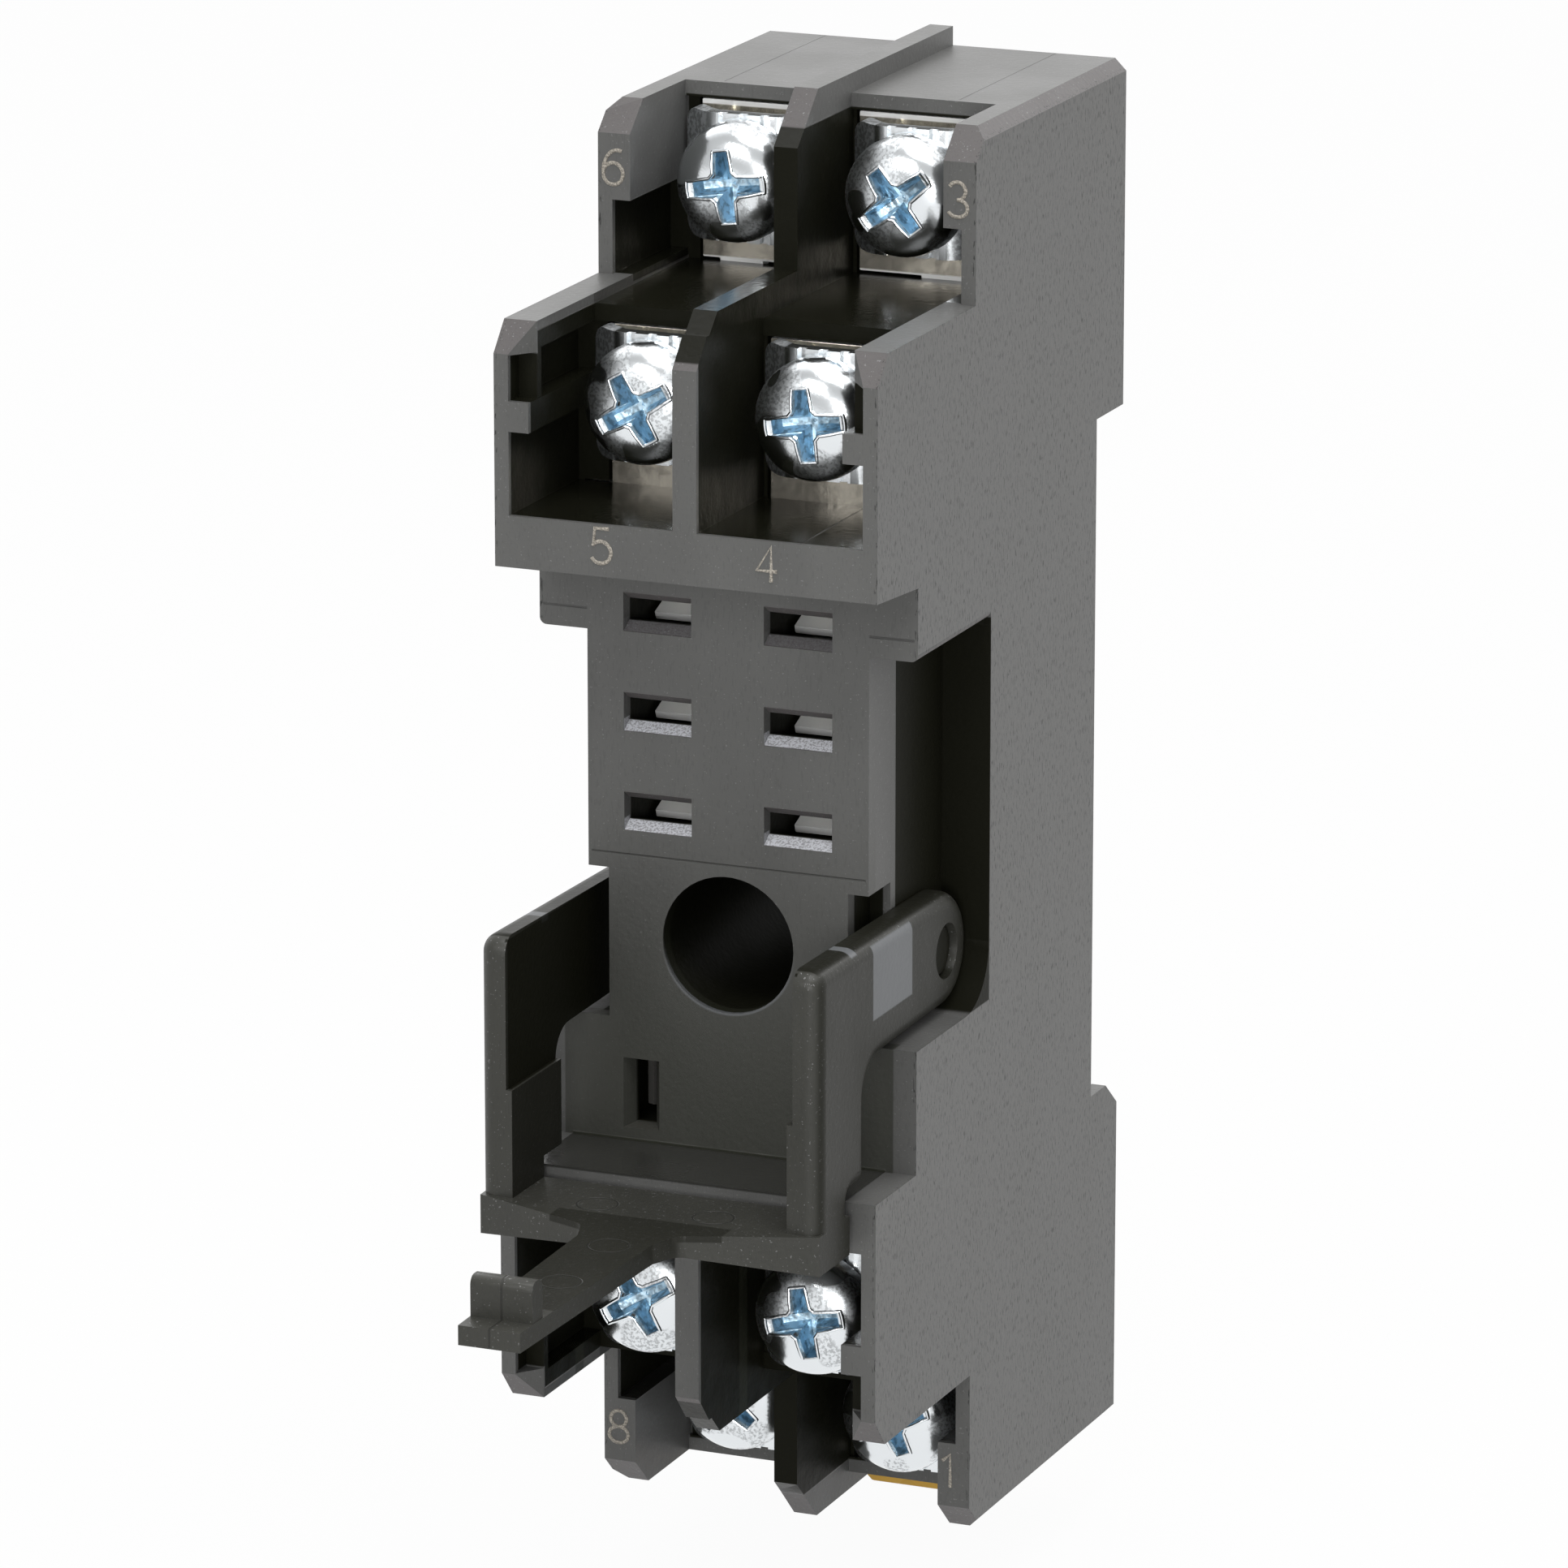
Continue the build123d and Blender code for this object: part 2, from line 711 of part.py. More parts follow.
# Release lever: two arms on the housing's pins, a floor under the relay and a tongue
with BuildPart() as release_lever:
    for side in (RIGHT, LEFT):
        with BuildSketch(Plane.YZ.offset(side * arm_inner_x)) as arm:
            with BuildLine():
                FilletPolyline(
                    (arm_front_y, arm_top_z),
                    (pivot_y, pivot_z + arm_round),
                    (pivot_y, pivot_z - arm_round),
                    (leg_back_y, arm_low_z),
                    (leg_back_y, jog_z),
                    (foot_back_y, jog_z),
                    (foot_back_y, foot_z),
                    (arm_front_y, foot_z),
                    radius=(arm_corner, 0, 0, leg_fillet, jog_fillet, jog_fillet, foot_fillet, jog_fillet),
                    close=True,
                )
            make_face()
            with Locations((pivot_y, pivot_z)):
                Circle(arm_round)
        extrude(arm.sketch, amount=side * arm_thickness)

        # The rear end of each arm is rounded over, outside
        outer_face = release_lever.faces().filter_by(Axis.X).sort_by(Axis.X)[-1 if side == RIGHT else 0]
        fillet(outer_face.edges().filter_by(GeomType.CIRCLE).sort_by(Axis.Y)[-1], arm_edge_round)

        # Beside the relay's foot the leg is thicker inward
        side_slab([
            (arm_front_y, leg_step_z),
            (leg_back_y, leg_step_z),
            (leg_back_y, jog_z),
            (foot_back_y, jog_z),
            (foot_back_y, floor_top_z),
            (arm_front_y, floor_top_z),
        ], side * (arm_inner_x - leg_extra), side * arm_inner_x)

    add(lever_floor.part)

    # Catch near the tip of the tongue
    catch_top_z = floor_top_z + catch_height
    catch_front_y = face_y - tongue_reach + catch_setback
    with BuildSketch(Plane.YZ.offset(-tongue_tip_half_width)) as catch:
        with BuildLine():
            FilletPolyline(
                (catch_front_y, tongue_low_z),
                (catch_front_y, catch_top_z),
                (catch_front_y + catch_thickness, catch_top_z),
                (catch_front_y + catch_thickness, tongue_low_z),
                radius=(0, catch_round, catch_round, 0),
                close=True,
            )
        make_face()
    extrude(catch.sketch, amount=2 * tongue_tip_half_width)

    # Pivot holes
    with BuildSketch(Plane.YZ.offset(-lever_half_width)) as pivot_hole:
        with Locations((pivot_y, pivot_z)):
            Circle(pin_radius + pin_clearance)
    extrude(pivot_hole.sketch, amount=2 * lever_half_width, mode=Mode.SUBTRACT)
save(release_lever.part, "release_lever")


def make_terminal(side, end, row):
    """A stamped strip: a screw plate, bent inward to a sprung contact."""
    with BuildPart() as terminal:
        # The bends, seen from the side
        with BuildSketch(Plane.YZ) as bends:
            with BuildLine():
                line = strip_line(end, row)
                if row == OUTER:
                    Line(*line)
                else:
                    FilletPolyline(*line, radius=strip_bend)
            trace(line_width=strip)
        extrude(bends.sketch, amount=side * half_width)

        # The blank, seen from the front
        with BuildSketch(Plane.XZ.offset(face_depth)) as blank:
            for x0, x1, z0, z1, _ in strip_boxes(end, row):
                with Locations((side * (x0 + x1) / 2, (z0 + z1) / 2)):
                    Rectangle(x1 - x0, abs(z1 - z0))
        extrude(blank.sketch, amount=-face_depth, mode=Mode.INTERSECT)

        # The contact: two leaves that meet at the throat and flare at the mouth
        throat_y = clip_mouth_y + clip_throat
        root_y = clip_mouth_y + clip_root
        spine_y = strip_line(end, row)[-1][0]
        across = clip_gap / 2 + clip_leaf / 2
        if is_coil(end, row):
            middle, start = side * coil_middle_x, coil_middle_z + clip_width / 2
            plane = Plane(origin=(0, 0, start), x_dir=(0, 1, 0), z_dir=(0, 0, -1))
        else:
            middle, start = contact_z(end, row), side * clip_middle_x - clip_width / 2
            plane = Plane.YZ.offset(start)
        with BuildSketch(plane) as leaves:
            for way in (1, -1):
                with BuildLine():
                    FilletPolyline(
                        (clip_mouth_y, middle + way * (across + clip_flare)),
                        (throat_y, middle + way * across),
                        (root_y + past, middle + way * across),
                        radius=clip_throat,
                    )
                trace(line_width=clip_leaf)
            with Locations(((root_y + spine_y) / 2, middle)):
                Rectangle(spine_y - root_y, 2 * clip_half)
        extrude(leaves.sketch, amount=clip_width)

        # The screw's hole
        height = outer_screw_height if row == OUTER else inner_screw_height
        with BuildSketch(Plane.XZ.offset(face_depth)) as hole:
            with Locations((side * screw_x, level(end, height))):
                Circle(plate_hole_radius)
        extrude(hole.sketch, amount=-face_depth, mode=Mode.SUBTRACT)
    return terminal.part


def make_washer(x, plate_y, z):
    """A clamp washer: square, with sides that slope back to the plate and grooves at its ends."""
    front_y = plate_y - washer_lift
    middle_y = front_y + washer_thickness / 2
    half = washer_width / 2
    with BuildPart() as washer:
        with BuildSketch(Plane.XY.offset(z - washer_height / 2)) as plan:
            with BuildLine():
                FilletPolyline(
                    (x - half, plate_y),
                    (x - washer_flat / 2, middle_y),
                    (x + washer_flat / 2, middle_y),
                    (x + half, plate_y),
                    radius=washer_bend,
                )
            trace(line_width=washer_thickness)
        extrude(plan.sketch, amount=washer_height)
        with BuildSketch(Plane.XZ.offset(-plate_y)) as front:
            with Locations((x, z)):
                RectangleRounded(washer_width, washer_height, washer_corner)
                Circle(washer_hole_radius, mode=Mode.SUBTRACT)
        extrude(front.sketch, amount=washer_lift, mode=Mode.INTERSECT)
        with BuildSketch(Plane.XZ.offset(-front_y)) as grooves:
            with Locations((x, z + washer_height / 2), (x, z - washer_height / 2)):
                with GridLocations(groove_pitch, 0, 3, 1):
                    Rectangle(groove_width, 2 * groove_length)
        extrude(grooves.sketch, amount=-groove_depth, mode=Mode.SUBTRACT)
    return washer.part


def make_screw(x, plate_y, z, turn):
    """A pan-head screw with a cross recess and a slot, its thread left plain."""
    base_y = plate_y - washer_lift
    top_y = base_y - head_height
    rise = head_height - head_rim
    dome_radius = (head_radius**2 + rise**2) / (2 * rise)
    half_way = head_radius / 2
    half_way_y = top_y + dome_radius - (dome_radius**2 - half_way**2) ** 0.5
    with BuildPart() as screw:
        with BuildSketch(Plane.XY.offset(z)) as half_section:
            with BuildLine():
                crown = (x, top_y)
                rim = (x + head_radius, base_y - head_rim)
                ThreePointArc(crown, (x + half_way, half_way_y), rim)
                Polyline(
                    rim,
                    (x + head_radius, base_y - head_rim / 3),
                    (x + head_radius - head_rim / 3, base_y),
                    (x + shank_radius, base_y),
                    (x + shank_radius, base_y + shank_length - head_rim),
                    (x + shank_radius - head_rim, base_y + shank_length),
                    (x, base_y + shank_length),
                    crown,
                )
            make_face()
        revolve(half_section.sketch, axis=Axis((x, 0, z), (0, 1, 0)))
        top_plane = Plane(origin=(x, top_y, z), x_dir=(1, 0, 0), z_dir=(0, -1, 0))
        with BuildSketch(top_plane) as cross:
            for angle in (turn, turn + 90):
                Rectangle(cross_span, cross_width, rotation=angle)
        extrude(cross.sketch, amount=-cross_depth, taper=cross_taper, mode=Mode.SUBTRACT)
        with BuildSketch(top_plane) as core:
            Rectangle(core_width, core_width, rotation=turn + 45)
        extrude(core.sketch, amount=-core_depth, taper=core_taper, mode=Mode.SUBTRACT)
        with BuildSketch(top_plane) as slot:
            Rectangle(2 * head_radius, slot_cut_width, rotation=turn)
        extrude(slot.sketch, amount=-slot_cut_depth, mode=Mode.SUBTRACT)
    return screw.part


for number, (side, end, row) in terminals.items():
    plate_y = outer_plate_y if row == OUTER else inner_plate_y
    z = level(end, outer_screw_height if row == OUTER else inner_screw_height)
    save(make_terminal(side, end, row), f"terminal_{number}")
    save(make_washer(side * screw_x, plate_y, z), f"clamp_washer_{number}")
    save(make_screw(side * screw_x, plate_y, z, screw_turns[number]), f"terminal_screw_{number}")
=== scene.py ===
from math import cos, radians, sin

import bpy
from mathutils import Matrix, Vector


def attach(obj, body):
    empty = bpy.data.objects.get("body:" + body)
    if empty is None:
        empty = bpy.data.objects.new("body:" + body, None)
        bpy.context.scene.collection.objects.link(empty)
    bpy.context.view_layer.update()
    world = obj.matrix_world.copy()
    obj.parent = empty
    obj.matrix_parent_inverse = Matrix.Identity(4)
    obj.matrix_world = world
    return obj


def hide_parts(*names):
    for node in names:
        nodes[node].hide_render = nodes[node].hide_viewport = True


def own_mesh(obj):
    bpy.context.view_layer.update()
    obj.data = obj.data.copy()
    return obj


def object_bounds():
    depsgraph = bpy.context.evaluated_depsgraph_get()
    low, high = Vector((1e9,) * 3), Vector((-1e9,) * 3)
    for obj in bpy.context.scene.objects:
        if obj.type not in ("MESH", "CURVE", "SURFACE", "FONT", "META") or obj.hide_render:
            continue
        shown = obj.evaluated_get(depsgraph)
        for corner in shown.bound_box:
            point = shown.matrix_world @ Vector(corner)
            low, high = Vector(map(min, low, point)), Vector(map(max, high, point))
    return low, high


# A relay socket for a 35 mm rail. Sizes are in millimetres, and MM turns them into metres.
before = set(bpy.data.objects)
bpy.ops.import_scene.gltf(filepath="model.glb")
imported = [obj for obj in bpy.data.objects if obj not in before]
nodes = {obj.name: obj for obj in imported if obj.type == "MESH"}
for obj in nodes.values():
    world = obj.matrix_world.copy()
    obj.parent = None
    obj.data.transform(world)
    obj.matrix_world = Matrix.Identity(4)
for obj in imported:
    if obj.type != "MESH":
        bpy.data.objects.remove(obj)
cad_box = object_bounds()
MM = 0.001

# Camera, fitted to the photograph's edges
camera_place = Vector((174.25, -433.11, 125.02))
camera_yaw = 22.709
camera_pitch = -15.248
image_pixels = 1932
focal_pixels = 11742
sensor_width = 36

# Places on the housing. Heights are measured from its middle, which lies body_drop below the origin.
body_drop = 0.32
relay_face_y = -23.8
ledge_z = -14.9
inner_face_y = -28.98
end_face_y = -16.53
side_x = 9.9
roof_z = 35.9
wall_x = 9.2
tab_x = 8.15
tab_low_height = 30.8
gusset_height = 25.5
barrier_x = 0.6
pocket_rear_y = -14.25
pocket_low_z = -8.6
pocket_top_z = 10.82
pocket_gloss_y = -20.4
bore_radius = 3.45
bore_z = -4.38
slot_near_x = 1.9
slot_far_x = 5.47
slot_top_z = 12.81
slot_height = 1.95
slot_pitch = 5.0
contact_front_y = -20.4

# Terminal cells
cell_reach = 8.2
cell_top_height = 34.9
end_cell_low_height = 26.7
end_cell_front_y = -16.2
cell_rear_y = -9.0
inner_cell_low_height = 17.2
inner_cell_front_y = -28.7
inner_cell_rear_y = -20.0

# Lever
arm_outer_x = 9.0
arm_inner_x = 7.3
patch_front_y = -26.85
patch_rear_y = -21.85
patch_low_z = -6.35
arm_top_z = -2.4
tongue_top_z = -14.9

# Screws, washers and the hook
screw_x = 4.45
inner_screw_height = 22.48
end_screw_height = 31.18
row_split_height = 26.8
inner_apex_y = -25.05
end_apex_y = -13.75
dome_radius = 3.446
head_radius = 3.0
head_rise = 1.75
pan_power = 2.8
burr_radius = 0.09
burr_sides = 8
sharp_angle = 35
recess_reach = 2.5
washer_flat_half = 1.9

# Widths of the bevels on sharp edges
moulded_bevel = 0.10
lever_bevel = 0.12
fine_bevel = 0.06
bevel_angle = 30

# Colours
plastic_colour = (0.092, 0.092, 0.089)
# Painted shade, laid on hollows where shade falls
painted_shade_colour = (0.008, 0.008, 0.005)
lever_colour = (0.034, 0.034, 0.029)
# Rubbed places on the lever, and a painted highlight on the bore's rim
rubbed_and_highlight_colour = (0.115, 0.120, 0.125)
amber_colour = (0.84, 0.50, 0.07)
zinc_colour = (0.80, 0.83, 0.85)
recess_colour = (0.60, 0.79, 0.92)
terminal_colour = (0.86, 0.80, 0.68)
digit_colour = (0.36, 0.33, 0.28)
# Painted highlight on the ledges of the contact slots
painted_ledge_highlight_colour = (0.66, 0.67, 0.71)
contact_colour = (0.84, 0.82, 0.76)
# Painted highlight on the terminals' contact edges, upward faces and bands
painted_highlight_colour = (0.97, 0.97, 0.95)
slope_colour = (0.100, 0.086, 0.088)
speck_colour = (0.20, 0.20, 0.20)
# Painted shade at the foot of the relay face
painted_foot_shade_colour = (0.022, 0.023, 0.016)

# Finish of the plastic
plastic_shine = 0.3
inside_shine = 0.05
housing_roughness = 0.44
lever_roughness = 0.40
roughness_spread = 0.04
floor_polish = 0.26

# Marks from the mould
line_width = 0.09
ring_radius = 1.0
ring_places = ((-3.02, -32.78), (2.98, -32.61), (0.08, -38.51), (0.19, -44.39))


class Graph:
    """A node tree, with short calls that add nodes to it and join them."""

    def __init__(self, tree):
        self.tree = tree

    def join(self, value, socket):
        """Sets a socket from another node's output, or from a plain value."""
        if isinstance(value, bpy.types.NodeSocket):
            self.tree.links.new(value, socket)
        else:
            socket.default_value = value

    def math(self, operation, *values, clamp=False):
        node = self.tree.nodes.new("ShaderNodeMath")
        node.operation = operation
        node.use_clamp = clamp
        for value, socket in zip(values, node.inputs):
            self.join(value, socket)
        return node.outputs[0]

    def step(self, value, low, high, to_low=0.0, to_high=1.0):
        """Maps low to high smoothly onto another range."""
        node = self.tree.nodes.new("ShaderNodeMapRange")
        node.interpolation_type = "SMOOTHSTEP"
        for given, socket in zip((value, low, high, to_low, to_high), node.inputs):
            self.join(given, socket)
        return node.outputs[0]

    def between(self, share, first, second):
        """A number between two others."""
        return self.step(share, 0.0, 1.0, first, second)

    def distance(self, *values):
        """How long a vector of those parts is."""
        squares = [self.math("POWER", value, 2.0) for value in values]
        total = squares[0]
        for square in squares[1:]:
            total = self.math("ADD", total, square)
        return self.math("SQRT", total)

    def set_place(self, vector):
        """The place on the object, in millimetres."""
        split = self.tree.nodes.new("ShaderNodeSeparateXYZ")
        self.join(vector, split.inputs[0])
        self.x = self.math("DIVIDE", split.outputs["X"], MM)
        self.y = self.math("DIVIDE", split.outputs["Y"], MM)
        self.z = self.math("DIVIDE", split.outputs["Z"], MM)
        self.aside = self.math("ABSOLUTE", self.x)
        self.height = self.math("ABSOLUTE", self.math("ADD", self.z, body_drop))

    def screw_place(self):
        """How far a place is from its screw's axis, and how far behind the middle of its head."""
        end_row = self.step(self.height, row_split_height - 0.1, row_split_height + 0.1)
        middle = self.between(end_row, inner_screw_height, end_screw_height)
        away = self.distance(self.math("SUBTRACT", self.aside, screw_x),
                             self.math("SUBTRACT", self.height, middle))
        behind = self.math("SUBTRACT", self.y, self.between(end_row, inner_apex_y, end_apex_y))
        return self.math("MINIMUM", away, head_radius - 0.001), behind

    def round_drop(self, away):
        """How far the domed head falls back at a distance from its axis."""
        squared = self.math("SUBTRACT", dome_radius ** 2, self.math("POWER", away, 2.0))
        return self.math("SUBTRACT", dome_radius, self.math("SQRT", squared))

    def pan_drop(self, away):
        """The same for a pan head, flatter in the middle and rounder at the rim."""
        share = self.math("POWER", self.math("DIVIDE", away, head_radius), pan_power)
        left = self.math("POWER", self.math("SUBTRACT", 1.0, share), 1 / pan_power)
        return self.math("MULTIPLY", self.math("SUBTRACT", 1.0, left), head_rise)


class Surface(Graph):
    """One material."""

    def __init__(self, name, colour, roughness, metallic=0.0):
        self.material = bpy.data.materials.new(name)
        self.material.use_nodes = True
        super().__init__(self.material.node_tree)
        self.shader = self.tree.nodes["Principled BSDF"]
        self.shader.inputs["Base Color"].default_value = (*colour, 1)
        self.shader.inputs["Roughness"].default_value = roughness
        self.shader.inputs["Metallic"].default_value = metallic
        texture = self.tree.nodes.new("ShaderNodeTexCoord")
        self.place = texture.outputs["Object"]
        self.set_place(self.place)
        normal = self.tree.nodes.new("ShaderNodeSeparateXYZ")
        self.join(texture.outputs["Normal"], normal.inputs[0])
        self.normal_x = normal.outputs["X"]
        self.normal_z = normal.outputs["Z"]

    def noise(self, size, detail=2.0, stretch=(1, 1, 1), seed=0.0):
        """Soft noise with features of about that size in millimetres, drawn out by stretch."""
        mapping = self.tree.nodes.new("ShaderNodeMapping")
        self.join(self.place, mapping.inputs["Vector"])
        mapping.inputs["Scale"].default_value = [1 / (size * MM * s) for s in stretch]
        mapping.inputs["Location"].default_value = (seed, seed, seed)
        node = self.tree.nodes.new("ShaderNodeTexNoise")
        self.join(mapping.outputs[0], node.inputs["Vector"])
        node.inputs["Scale"].default_value = 1
        node.inputs["Detail"].default_value = detail
        return node.outputs[0]

    def within(self, *spans, soft=0.05):
        """1 where each value lies in its span, given as (value, low, high), and 0 elsewhere."""
        out = None
        for value, low, high in spans:
            past = self.math("SUBTRACT", value, (low + high) / 2)
            past = self.math("SUBTRACT", self.math("ABSOLUTE", past), (high - low) / 2)
            out = past if out is None else self.math("MAXIMUM", out, past)
        return self.step(out, -soft, soft, 1.0, 0.0)

    def either(self, *masks):
        out = masks[0]
        for mask in masks[1:]:
            out = self.math("MAXIMUM", out, mask)
        return out

    def blend(self, share, first, second):
        """A colour between two others."""
        node = self.tree.nodes.new("ShaderNodeMix")
        node.data_type = "RGBA"
        self.join(share, node.inputs["Factor"])
        self.join((*first, 1) if isinstance(first, tuple) else first, node.inputs[6])
        self.join((*second, 1) if isinstance(second, tuple) else second, node.inputs[7])
        return node.outputs[2]

    def bump(self, height, depth):
        """Adds relief of that depth in millimetres, over what is there already."""
        node = self.tree.nodes.new("ShaderNodeBump")
        node.inputs["Strength"].default_value = 1.0
        node.inputs["Distance"].default_value = depth * MM
        self.join(height, node.inputs["Height"])
        normal = self.shader.inputs["Normal"]
        if normal.is_linked:
            self.join(normal.links[0].from_socket, node.inputs["Normal"])
        self.join(node.outputs[0], normal)

    def set(self, **values):
        names = {"colour": "Base Color", "roughness": "Roughness"}
        for name, value in values.items():
            self.join(value, self.shader.inputs[names[name]])


def tint(colour, share):
    return tuple(part * share for part in colour)


def moulded(surface, colour, roughness, painted_inside_shade, cells, rubbed, lines, slope_share):
    """Moulded plastic, glossier on cell floors, with scuffs, rubbed places and mould lines, and painted
    shade that darkens hollows to near black.
    """
    sides = surface.step(surface.aside, side_x - 0.2, side_x - 0.1)
    level = surface.math("ABSOLUTE", surface.normal_z)
    slopes = surface.within((level, 0.25, 0.97), soft=0.02)
    scuffs = surface.step(surface.noise(0.09, 2, stretch=(1, 1, 5)), 0.58, 0.64)
    scuffs = surface.math("MULTIPLY", scuffs, surface.between(sides, 0.12, 0.9))
    specks = surface.step(surface.noise(0.13, 1, seed=40), 0.68, 0.74)
    specks = surface.math("MULTIPLY", specks, surface.between(slopes, 0.5, 0.9))
    specks = surface.math("MULTIPLY", specks, surface.between(sides, 1.0, 0.25))
    clouds = surface.noise(5, 3, stretch=(1, 1, 2.5))
    tone = surface.blend(clouds, tint(colour, 0.75), tint(colour, 1.25))
    tone = surface.blend(surface.math("MULTIPLY", slopes, slope_share), tone, slope_colour)
    tone = surface.blend(scuffs, tone, tint(colour, 0.2))
    tone = surface.blend(specks, tone, speck_colour)
    # Painted shade: hollows are darkened towards near black
    tone = surface.blend(painted_inside_shade, tone, painted_shade_colour)
    tone = surface.blend(rubbed, tone, rubbed_and_highlight_colour)
    surface.set(colour=surface.blend(lines, tone, tint(colour, 0.65)))
    rough = surface.step(clouds, 0.3, 0.7,
                         roughness - roughness_spread, roughness + roughness_spread)
    floors = surface.math("MULTIPLY", cells, surface.step(level, 0.5, 0.8))
    walls = surface.math("SUBTRACT", cells, floors)
    dull = surface.math("SUBTRACT", painted_inside_shade, floors, clamp=True)
    shine = surface.shader.inputs["Specular IOR Level"]
    shine.default_value = plastic_shine
    surface.join(surface.between(dull, plastic_shine, inside_shine), shine)
    polish = surface.math("MULTIPLY", floors, floor_polish)
    surface.set(roughness=surface.math("SUBTRACT", rough, polish))
    surface.bump(surface.noise(0.30, 3, seed=7), 0.016)
    surface.bump(surface.math("MULTIPLY", walls, surface.noise(1.6, 1, seed=21)), 0.06)
    surface.bump(lines, -0.04)
    return surface


def mould_line(surface, first, second, *spans):
    """A thin line where the first value is near a number, within spans of other values."""
    low, high = second - line_width / 2, second + line_width / 2
    return surface.within((first, low, high), *spans, soft=0.03)


def housing_plastic():
    surface = Surface("housing_plastic", plastic_colour, housing_roughness)
    aside, y, z, height = surface.aside, surface.y, surface.z, surface.height
    from_bore = surface.distance(surface.x, surface.math("SUBTRACT", z, bore_z))
    cells = surface.either(
        surface.within((aside, barrier_x, tab_x), (y, end_cell_front_y, cell_rear_y),
                       (height, end_cell_low_height, cell_top_height)),
        surface.within((aside, barrier_x, wall_x), (y, end_cell_front_y, cell_rear_y),
                       (height, end_cell_low_height, tab_low_height)),
        surface.within((aside, -1, cell_reach), (y, -20.9, -8.6), (height, 24.0, 28.0)),
        surface.within((aside, barrier_x, wall_x), (y, inner_cell_front_y, inner_cell_rear_y),
                       (height, inner_cell_low_height, gusset_height)),
        surface.within((aside, barrier_x, wall_x), (y, -27.6, inner_cell_rear_y),
                       (height, inner_cell_low_height, 26.6)),
        surface.within((aside, -1, barrier_x + 0.1), (y, inner_cell_front_y, cell_rear_y),
                       (height, inner_cell_low_height, cell_top_height)),
        surface.math("MULTIPLY", 0.75, surface.within(
            (aside, -1, 8.3), (y, -29.1, -23.7), (z, ledge_z - 0.1, ledge_z + 0.1))),
    )
    # Painted shade: the cells, the ledge under the relay seat, the side pockets, the seat behind the
    # relay face and the bore are painted near black
    painted_inside_shade = surface.either(
        cells,
        surface.within((aside, 7.3, side_x + 0.1), (y, pocket_gloss_y, pocket_rear_y),
                       (z, pocket_low_z, pocket_top_z)),
        surface.within((aside, -1, 7.0), (y, -23.0, -4.0), (height, -1, 16.0)),
        surface.within((from_bore, -1, bore_radius + 0.05), (y, -23.7, -4.0)),
    )
    lines = surface.either(
        mould_line(surface, aside, 6.2, (y, -9.4, 3.5), (height, roof_z - 1, roof_z + 1)),
        mould_line(surface, z, -0.35, (aside, -1, 7.2), (y, -24, -23.5)),
        mould_line(surface, z, 11.84, (aside, 7.4, 9.7), (y, -24, -23.5)),
        mould_line(surface, surface.x, 5.95, (y, -28.9, -20.8), (z, 17.0, 17.7)),
    )
    surface = moulded(surface, plastic_colour, housing_roughness, painted_inside_shade, cells, 0.0, lines, 0.45)

    # Painted shade: the relay face is painted darker towards its foot
    tone = surface.shader.inputs["Base Color"].links[0].from_socket
    foot = surface.within((aside, -1, 8.7), (y, relay_face_y - 0.1, relay_face_y + 0.9))
    low = surface.step(z, 6.0, -12.0, 0.0, 0.75)
    tone = surface.blend(surface.math("MULTIPLY", foot, low), tone, painted_foot_shade_colour)

    # Painted highlight: the lower half of the bore's rim is painted lighter
    rim = surface.within((from_bore, bore_radius - 0.05, bore_radius + 0.10),
                         (y, relay_face_y - 0.1, relay_face_y + 0.25))
    rim = surface.math("MULTIPLY", rim, surface.step(z, bore_z, bore_z - 2.5, 0.0, 0.8))
    tone = surface.blend(rim, tone, rubbed_and_highlight_colour)

    # Painted highlight: the bevelled ledges under the contact slots are painted bright, as if lit from
    # above, least in the top row
    grain = surface.step(surface.noise(0.10, 3, seed=9), 0.35, 0.6)
    for row, share in enumerate((0.12, 1.0, 0.9)):
        low_z = slot_top_z - slot_height - row * slot_pitch
        ledge_highlight = surface.within((aside, slot_near_x, slot_far_x), (y, -23.76, -23.1),
                               (z, low_z - 0.05, low_z + 0.6), soft=0.02)
        share = surface.math("MULTIPLY", surface.between(grain, share * 0.45, share), ledge_highlight)
        tone = surface.blend(share, tone, painted_ledge_highlight_colour)
    surface.set(colour=tone)
    return surface.material


